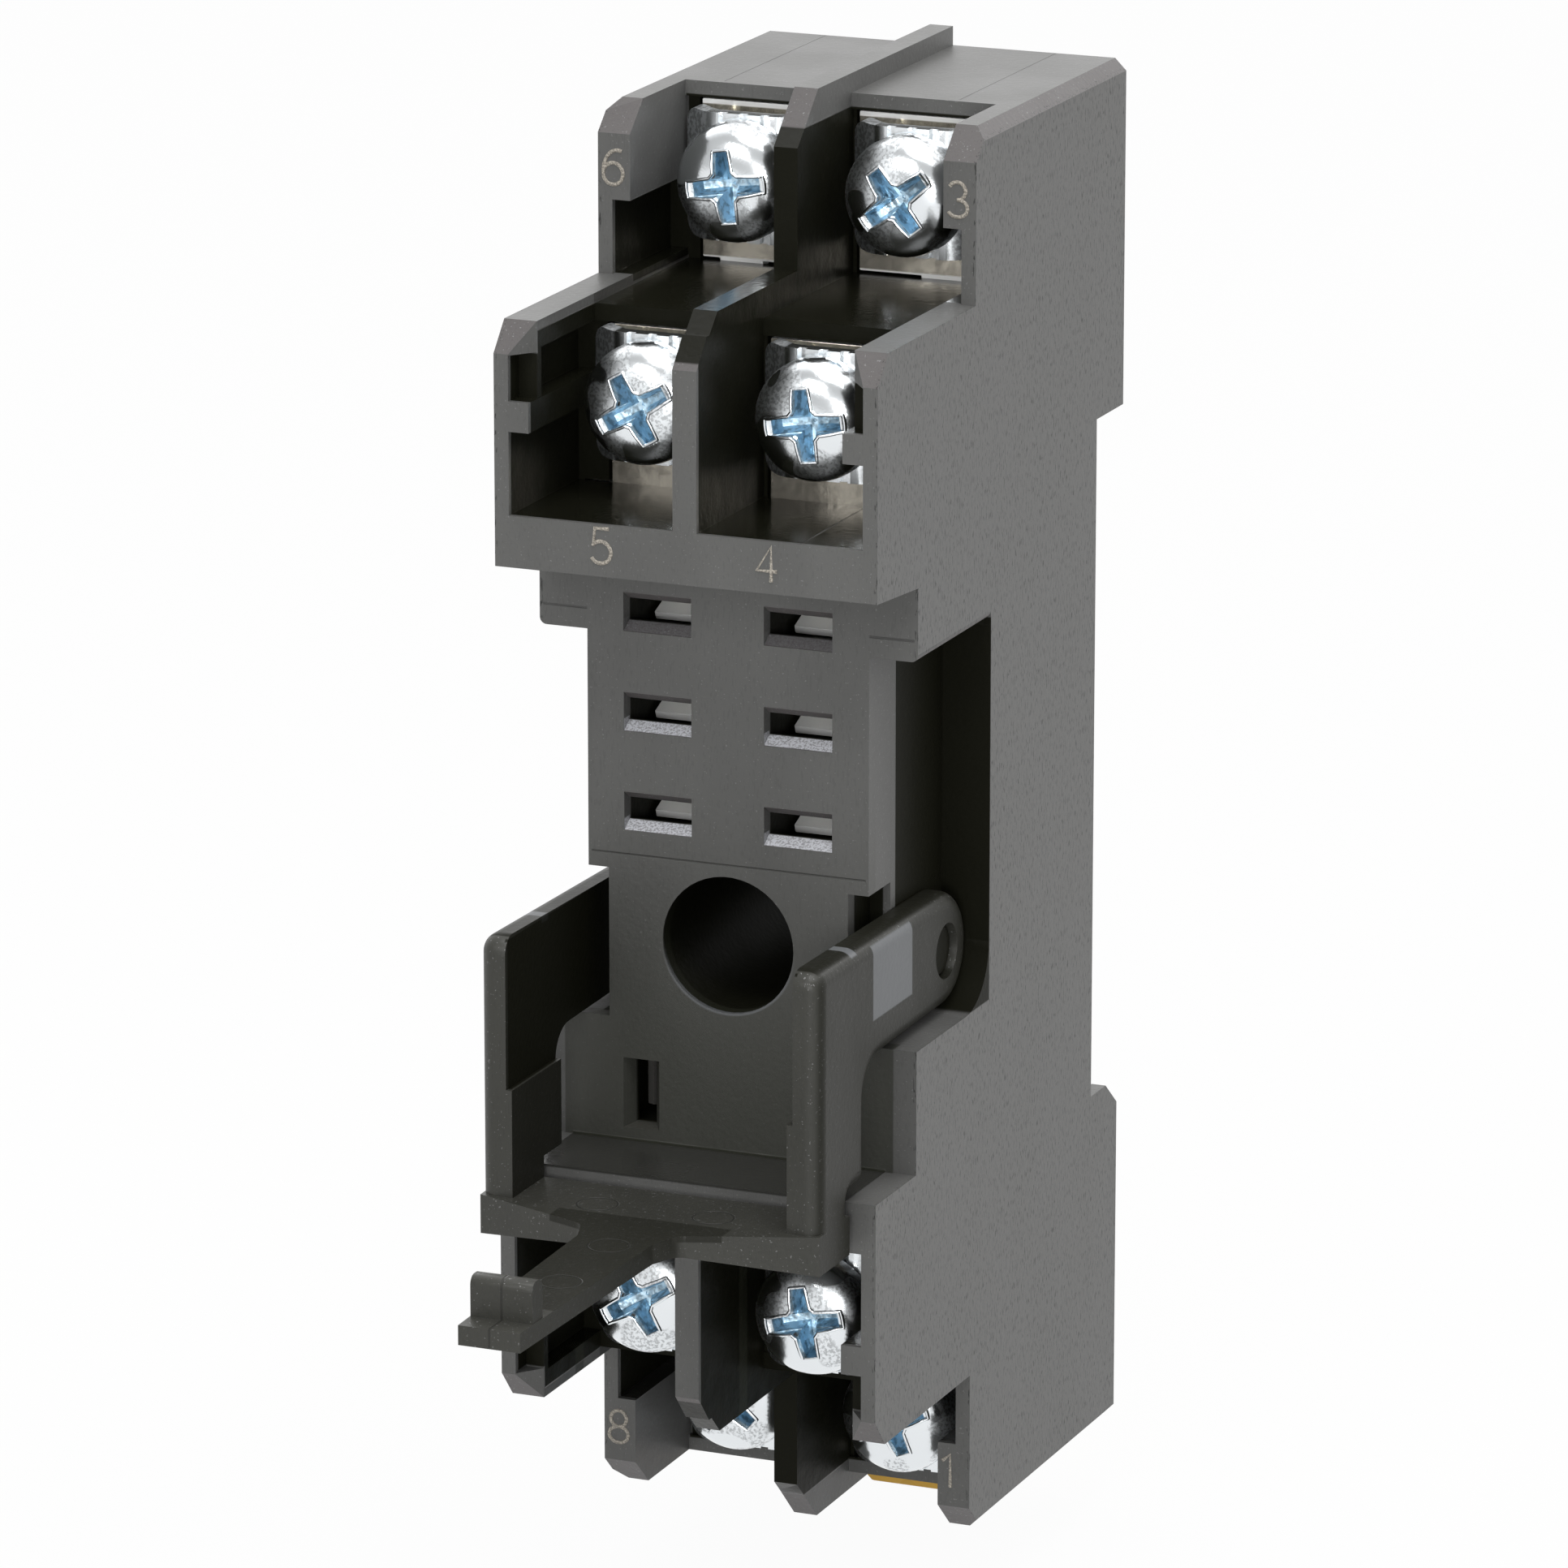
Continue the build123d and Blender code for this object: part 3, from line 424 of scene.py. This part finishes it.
def lever_plastic():
    surface = Surface("lever_plastic", lever_colour, lever_roughness)
    patch = surface.within((surface.aside, 8.7, arm_outer_x), (surface.y, patch_front_y, patch_rear_y),
                           (surface.z, patch_low_z, arm_top_z))
    worn_tops = surface.within((surface.aside, 7.5, arm_outer_x), (surface.y, -29.2, -28.5),
                               (surface.z, -2.6, -2))
    rings = []
    for x, y in ring_places:
        away = surface.distance(surface.math("SUBTRACT", surface.x, x),
                                surface.math("SUBTRACT", surface.y, y))
        rings.append(surface.within((away, ring_radius - 0.04, ring_radius + 0.04),
                                    (surface.z, -16.0, -14.6), soft=0.03))
    parting = mould_line(surface, surface.x, 0.0, (surface.y, -60, -47.5))
    tongue = surface.within((surface.aside, -1, 4.5), (surface.y, -48.5, -34),
                            (surface.z, -15.6, tongue_top_z))
    rubbed = surface.either(patch, worn_tops, surface.math("MULTIPLY", surface.either(*rings), 0.35))
    lines = surface.either(parting, *rings)
    # Painted shade: the tongue, the arms' inner faces, faces turned sideways and the arms' upward faces
    # are darkened towards near black
    inner_arms = surface.within((surface.aside, arm_inner_x, 7.6), (surface.y, -33.3, -14),
                                (surface.z, -15.0, arm_top_z))
    facing_aside = surface.step(surface.math("ABSOLUTE", surface.normal_x), 0.5, 0.9, 0.0, 0.65)
    arm_tops = surface.within((surface.aside, 7.0, 9.2), (surface.y, -33.0, -12), (surface.z, -9, -1))
    arm_tops = surface.math("MULTIPLY", arm_tops, surface.step(surface.normal_z, 0.6, 0.9, 0.0, 0.8))
    darker = surface.either(surface.math("MULTIPLY", tongue, 0.6), inner_arms, facing_aside, arm_tops)
    return moulded(surface, lever_colour, lever_roughness, darker, 0.0, rubbed, lines, 0.0).material


def amber_plastic():
    surface = Surface("amber_plastic", amber_colour, 0.3)
    clouds = surface.noise(2, 2)
    surface.set(colour=surface.blend(clouds, tint(amber_colour, 0.85), amber_colour))
    surface.set(roughness=surface.step(clouds, 0.3, 0.7, 0.25, 0.35))
    surface.bump(surface.noise(0.4, 2), 0.006)
    return surface.material


def zinc(name):
    """Bright zinc, a little wavy from the press."""
    surface = Surface(name, zinc_colour, 0.18, metallic=1)
    surface.bump(surface.noise(1.4, 1), 0.018)
    surface.bump(surface.noise(0.10, 2), 0.002)
    return surface


def washer_zinc():
    """Washers, matter and speckled where their sides slope."""
    surface = zinc("washer_zinc")
    across = surface.math("ABSOLUTE", surface.math("SUBTRACT", surface.aside, screw_x))
    sloping = surface.step(across, washer_flat_half - 0.1, washer_flat_half + 0.3)
    specks = surface.step(surface.noise(0.22, 3), 0.42, 0.58)
    frost = surface.math("MULTIPLY", sloping, specks)
    surface.set(colour=surface.blend(frost, zinc_colour, tint(zinc_colour, 0.6)))
    surface.set(roughness=surface.between(sloping, 0.2, 0.42))
    return surface.material


def screw_zinc():
    """Screws, bluish where the surface lies behind the dome of the head."""
    surface = zinc("screw_zinc")
    away, behind = surface.screw_place()
    behind = surface.math("SUBTRACT", behind, surface.pan_drop(away))
    deep = surface.step(behind, 0.10, 0.35)
    near = surface.step(away, recess_reach - 0.1, recess_reach + 0.1, 1.0, 0.0)
    recess = surface.math("MULTIPLY", deep, near)
    streaks = surface.noise(0.35, 3, seed=11)
    blue = surface.blend(surface.step(streaks, 0.35, 0.55), tint(recess_colour, 0.5), recess_colour)
    matt = surface.step(surface.noise(2.2, 1, seed=5), 0.48, 0.56)
    specks = surface.math("MULTIPLY", matt, surface.step(surface.noise(0.16, 3), 0.45, 0.6))
    dome = surface.blend(specks, zinc_colour, tint(zinc_colour, 0.6))
    surface.set(colour=surface.blend(recess, dome, blue))
    surface.set(roughness=surface.math("ADD", surface.between(matt, 0.17, 0.34),
                                       surface.math("MULTIPLY", recess, 0.15)))
    surface.bump(surface.math("MULTIPLY", recess, surface.noise(0.5, 2, seed=3)), 0.10)
    return surface.material


def metal(name, colour, roughness):
    """Stamped strip, with tarnished patches and a faint grain."""
    surface = Surface(name, colour, roughness, metallic=1)
    patches = surface.step(surface.noise(0.9, 4, seed=2), 0.42, 0.62)
    grain = surface.noise(0.25, 3, stretch=(1, 1, 4))
    surface.set(colour=surface.blend(patches, colour, tint(colour, 0.72)))
    surface.set(roughness=surface.step(grain, 0.3, 0.7, roughness - 0.06, roughness + 0.06))
    surface.bump(grain, 0.001)
    surface.bump(patches, 0.003)
    return surface


def terminal_metal():
    """The terminals' strip, matter and paler at the relay contacts, with painted highlights on the
    contacts' front edges, on upward faces and on two bands, and painted shade on the coil contacts.
    """
    surface = metal("terminal_metal", terminal_colour, 0.16)
    tone = surface.shader.inputs["Base Color"].links[0].from_socket
    contact = surface.step(surface.height, 15.5, 16.5, 1.0, 0.0)
    # Painted highlight along the front edge of each contact
    front = surface.step(surface.y, contact_front_y + 0.05, contact_front_y + 0.10, 1.0, 0.0)
    contact_with_painted_light = surface.blend(front, contact_colour, painted_highlight_colour)
    # Painted shade: the coil contacts below the relay's middle are painted dark
    contact_with_painted_light = surface.blend(surface.step(surface.z, -2.0, -1.0), tint(contact_colour, 0.12), contact_with_painted_light)
    # Painted highlight: upward faces and two bands of the strip are painted near white
    painted_top_highlights = surface.either(surface.step(surface.normal_z, 0.6, 0.9),
                          surface.within((surface.height, 25.7, 26.8)),
                          surface.within((surface.height, 34.4, 36.0)))
    tone = surface.blend(painted_top_highlights, surface.blend(contact, tone, contact_with_painted_light), painted_highlight_colour)
    surface.set(colour=tone)
    matt = surface.either(contact, painted_top_highlights)
    surface.join(surface.between(matt, 0.85, 0.1), surface.shader.inputs["Metallic"])
    return surface.material


def pan_heads(material):
    """Geometry nodes that turn domed screw heads into pan heads, with a burr round each recess."""
    tree = bpy.data.node_groups.new("pan_heads", "GeometryNodeTree")
    tree.interface.new_socket("Geometry", in_out="INPUT", socket_type="NodeSocketGeometry")
    tree.interface.new_socket("Geometry", in_out="OUTPUT", socket_type="NodeSocketGeometry")
    graph = Graph(tree)
    start = tree.nodes.new("NodeGroupInput")
    finer = tree.nodes.new("GeometryNodeSubdivideMesh")
    finer.inputs["Level"].default_value = 1
    move = tree.nodes.new("GeometryNodeSetPosition")
    offset = tree.nodes.new("ShaderNodeCombineXYZ")
    graph.set_place(tree.nodes.new("GeometryNodeInputPosition").outputs[0])
    away, behind = graph.screw_place()
    in_head = graph.math("LESS_THAN", behind, head_rise + 0.1)
    pan = graph.pan_drop(away)
    shift = graph.math("MULTIPLY", graph.math("SUBTRACT", pan, graph.round_drop(away)), in_head)
    graph.join(graph.math("MULTIPLY", shift, MM), offset.inputs["Y"])
    graph.join(start.outputs[0], finer.inputs["Mesh"])
    graph.join(finer.outputs[0], move.inputs["Geometry"])
    graph.join(offset.outputs[0], move.inputs["Offset"])

    # The burr follows the sharp edges where the recess leaves the head
    angle = tree.nodes.new("GeometryNodeInputMeshEdgeAngle").outputs["Unsigned Angle"]
    sharp = graph.math("GREATER_THAN", angle, radians(sharp_angle))
    on_head = graph.math("LESS_THAN", graph.math("ABSOLUTE", graph.math("SUBTRACT", behind, pan)), 0.06)
    on_edge = graph.math("LESS_THAN", away, recess_reach + 0.25)
    chosen = graph.math("MULTIPLY", graph.math("MULTIPLY", sharp, on_head), on_edge)
    edge = tree.nodes.new("GeometryNodeMeshToCurve")
    ring = tree.nodes.new("GeometryNodeCurvePrimitiveCircle")
    ring.inputs["Resolution"].default_value = burr_sides
    ring.inputs["Radius"].default_value = burr_radius * MM
    tube = tree.nodes.new("GeometryNodeCurveToMesh")
    tube.inputs["Fill Caps"].default_value = True
    paint = tree.nodes.new("GeometryNodeSetMaterial")
    paint.inputs["Material"].default_value = material
    together = tree.nodes.new("GeometryNodeJoinGeometry")
    end = tree.nodes.new("NodeGroupOutput")
    graph.join(move.outputs[0], edge.inputs["Mesh"])
    graph.join(chosen, edge.inputs["Selection"])
    graph.join(edge.outputs[0], tube.inputs["Curve"])
    graph.join(ring.outputs[0], tube.inputs["Profile Curve"])
    graph.join(tube.outputs[0], paint.inputs["Geometry"])
    graph.join(paint.outputs[0], together.inputs[0])
    graph.join(move.outputs[0], together.inputs[0])
    graph.join(together.outputs[0], end.inputs[0])
    return tree


def soften(piece, bevel_width, reshape=None):
    """Rounds a piece's sharp edges, after an optional change of shape."""
    weld = piece.modifiers.new("weld", "WELD")
    weld.merge_threshold = 0.001 * MM
    if reshape:
        piece.modifiers.new("reshape", "NODES").node_group = reshape
    bevel = piece.modifiers.new("bevel", "BEVEL")
    bevel.width = bevel_width * MM
    bevel.segments = 2
    bevel.limit_method = "ANGLE"
    bevel.angle_limit = radians(bevel_angle)
    bevel.use_clamp_overlap = True
    shade = piece.modifiers.new("shade", "WEIGHTED_NORMAL")
    shade.keep_sharp = True


def dress(names, material, bevel_width=0.0):
    """Gives CAD nodes a material, and softens their sharp edges."""
    for name in names:
        node = nodes[name]
        node.data.materials.clear()
        node.data.materials.append(material)
        if bevel_width:
            soften(node, bevel_width)


def numbered(stem):
    return [f"{stem}_{number}" for number in range(1, 9)]


def stand_in(name, node, material, body):
    """A copy of a CAD node, to be given another shape, that stands for it."""
    piece = bpy.data.objects.new(name, nodes[node].data.copy())
    piece.data.materials.clear()
    piece.data.materials.append(material)
    bpy.context.scene.collection.objects.link(piece)
    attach(piece, body)
    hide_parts(node)
    return piece


def pan_screws(material):
    """Screws that stand for the plainer solids, each in the same place."""
    heads = pan_heads(material)
    for number, node in enumerate(numbered("terminal_screw"), 1):
        piece = stand_in(f"pan_screw_{number}", node, material, f"clamp_{number}")
        soften(piece, fine_bevel, heads)


def coil_spring(material):
    """The hook's spring, a copy of its CAD node with a mesh of its own."""
    piece = stand_in("coil_spring", "hook_spring", material, "base")
    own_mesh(piece)


# Materials on the solids
dress(["housing", "rear_cover"], housing_plastic(), moulded_bevel)
dress(["release_lever"], lever_plastic(), lever_bevel)
dress(["rail_hook"], amber_plastic(), moulded_bevel)
dress(numbered("clamp_washer"), washer_zinc(), moulded_bevel)
dress(numbered("terminal"), terminal_metal(), fine_bevel)
coil_spring(metal("spring_steel", (0.6, 0.6, 0.6), 0.3).material)
pan_screws(screw_zinc())


# Moulded terminal numbers, as strokes in a cell one wide and 1.65 high
digit_width = 1.04
digit_tall = 1.65
stroke_radius = 0.10
stroke_relief = 0.6
arc_step = 12


def arc(middle_x, middle_y, radius_x, radius_y, start, end):
    """Points on part of an oval, from one angle to another in degrees."""
    count = round(abs(end - start) / arc_step)
    angles = [radians(start + (end - start) * part / count) for part in range(count + 1)]
    return [(middle_x + radius_x * cos(a), middle_y + radius_y * sin(a)) for a in angles]


digit_strokes = {
    "1": [[(0.2, 1.3), (0.6, digit_tall), (0.6, 0)]],
    "2": [arc(0.5, 1.15, 0.48, 0.48, 170, -40) + [(0.02, 0), (1.0, 0)]],
    "3": [arc(0.48, 1.23, 0.42, 0.42, 150, -90), arc(0.5, 0.42, 0.5, 0.41, 90, -155)],
    "4": [[(0.72, 0), (0.72, digit_tall), (0, 0.5), (1.02, 0.5)]],
    "5": [[(0.92, digit_tall), (0.2, digit_tall), (0.12, 0.85)] + arc(0.48, 0.52, 0.52, 0.52, 140, -150)],
    "6": [arc(0.5, 0.52, 0.5, 0.52, 180, -180), arc(0.72, 0.62, 0.72, 1.03, 185, 72)],
    "7": [[(0, digit_tall), (1.0, digit_tall), (0.4, 0)]],
    "8": [arc(0.5, 1.23, 0.41, 0.41, -90, 270), arc(0.5, 0.42, 0.5, 0.41, -90, 270)],
}
digit_places = {
    "6": (-9.10, end_face_y, 32.06),
    "3": (8.93, end_face_y, 31.89),
    "5": (-4.35, inner_face_y, 16.37),
    "4": (4.23, inner_face_y, 16.30),
    "8": (-9.12, end_face_y, -32.61),
    "1": (8.76, end_face_y, -32.54),
    "7": (-4.35, inner_face_y, -17.0),
    "2": (4.23, inner_face_y, -17.0),
}


def number_paint():
    surface = Surface("number_paint", digit_colour, 0.5)
    specks = surface.step(surface.noise(0.09, 2), 0.4, 0.6)
    surface.set(colour=surface.blend(specks, tint(digit_colour, 0.45), digit_colour))
    surface.bump(specks, 0.01)
    return surface.material


def draw_digit(digit, place, material):
    curve = bpy.data.curves.new(f"number_{digit}", "CURVE")
    curve.dimensions = "3D"
    curve.bevel_depth = stroke_radius * MM
    curve.bevel_resolution = 2
    curve.use_fill_caps = True
    for stroke in digit_strokes[digit]:
        line = curve.splines.new("POLY")
        line.points.add(len(stroke) - 1)
        for point, (across, up) in zip(line.points, stroke):
            point.co = ((across - 0.5) * digit_width * MM, 0, (up - digit_tall / 2) * digit_width * MM, 1)
    number = bpy.data.objects.new(curve.name, curve)
    number.location = Vector(place) * MM
    number.scale.y = stroke_relief
    curve.materials.append(material)
    bpy.context.scene.collection.objects.link(number)
    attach(number, "base")


numbers = number_paint()
for digit, place in digit_places.items():
    draw_digit(digit, place, numbers)


# World: white behind and above, and darker in front
back_light = 1.70
front_light = 0.12
shown_front_light = 0.62
fade_start = -0.5
fade_end = 0.3
world = bpy.data.worlds.new("studio")
bpy.context.scene.world = world
world.use_nodes = True
studio = Graph(world.node_tree)
sky = world.node_tree.nodes
rays = sky.new("ShaderNodeLightPath").outputs
split = sky.new("ShaderNodeSeparateXYZ")
studio.join(sky.new("ShaderNodeTexCoord").outputs["Generated"], split.inputs[0])


def fade(front):
    """Brightness from the front to the back of the room."""
    return studio.step(split.outputs["Y"], fade_start, fade_end, front, back_light)


def switch(ray, other, shown):
    """The shown brightness for one kind of ray, and the other for the rest."""
    node = sky.new("ShaderNodeMix")
    studio.join(rays[ray], node.inputs["Factor"])
    studio.join(other, node.inputs["A"])
    studio.join(shown, node.inputs["B"])
    return node.outputs["Result"]


brightness = switch("Is Glossy Ray", fade(front_light), fade(shown_front_light))
studio.join(switch("Is Camera Ray", brightness, 1.0), sky["Background"].inputs["Strength"])
studio.join((1, 1, 1, 1), sky["Background"].inputs["Color"])


def soft_light(name, place, width, height, strength):
    """A rectangular soft light that looks at the middle of the object."""
    data = bpy.data.lights.new(name, "AREA")
    data.shape = "RECTANGLE"
    data.size = width * MM
    data.size_y = height * MM
    data.energy = strength
    light = bpy.data.objects.new(name, data)
    light.location = Vector(place) * MM
    light.rotation_euler = (-light.location).to_track_quat("-Z", "Y").to_euler()
    bpy.context.scene.collection.objects.link(light)


soft_light("front_light", (-120, -620, 330), 260, 260, 1.0)
soft_light("top_light", (120, -240, 640), 420, 360, 3.2)
soft_light("low_light", (190, -640, 95), 160, 130, 1.4)


# Floor, white to the camera and in reflections, with a faint shadow
floor_half = 2000
floor_shade = 0.5
floor_glow = 0.96
lowest = cad_box[0].z / MM
bpy.ops.mesh.primitive_plane_add(size=2 * floor_half * MM, location=(0, 0, lowest * MM))
floor = bpy.context.object
floor.name = "floor"
paint = bpy.data.materials.new("floor_paint")
paint.use_nodes = True
ground = Graph(paint.node_tree)
add = paint.node_tree.nodes.new
paint.node_tree.nodes.clear()
shade = add("ShaderNodeBsdfDiffuse")
ground.join((floor_shade, floor_shade, floor_shade, 1), shade.inputs["Color"])
floor_rays = add("ShaderNodeLightPath").outputs
shown = ground.math("MAXIMUM", floor_rays["Is Camera Ray"], floor_rays["Is Glossy Ray"])
mixed = add("ShaderNodeMixShader")
ground.join(ground.math("MULTIPLY", shown, floor_glow), mixed.inputs[0])
ground.join(shade.outputs[0], mixed.inputs[1])
ground.join(add("ShaderNodeEmission").outputs[0], mixed.inputs[2])
ground.join(mixed.outputs[0], add("ShaderNodeOutputMaterial").inputs["Surface"])
floor.data.materials.append(paint)


# Camera
lens = bpy.data.cameras.new("camera")
lens.sensor_width = sensor_width
lens.lens = focal_pixels / image_pixels * sensor_width
lens.clip_start = 0.05
lens.clip_end = 10
camera = bpy.data.objects.new("camera", lens)
camera.location = camera_place * MM
camera.rotation_euler = (radians(90 + camera_pitch), 0, radians(camera_yaw))
bpy.context.scene.collection.objects.link(camera)
bpy.context.scene.camera = camera
bpy.context.scene.view_settings.view_transform = "Standard"
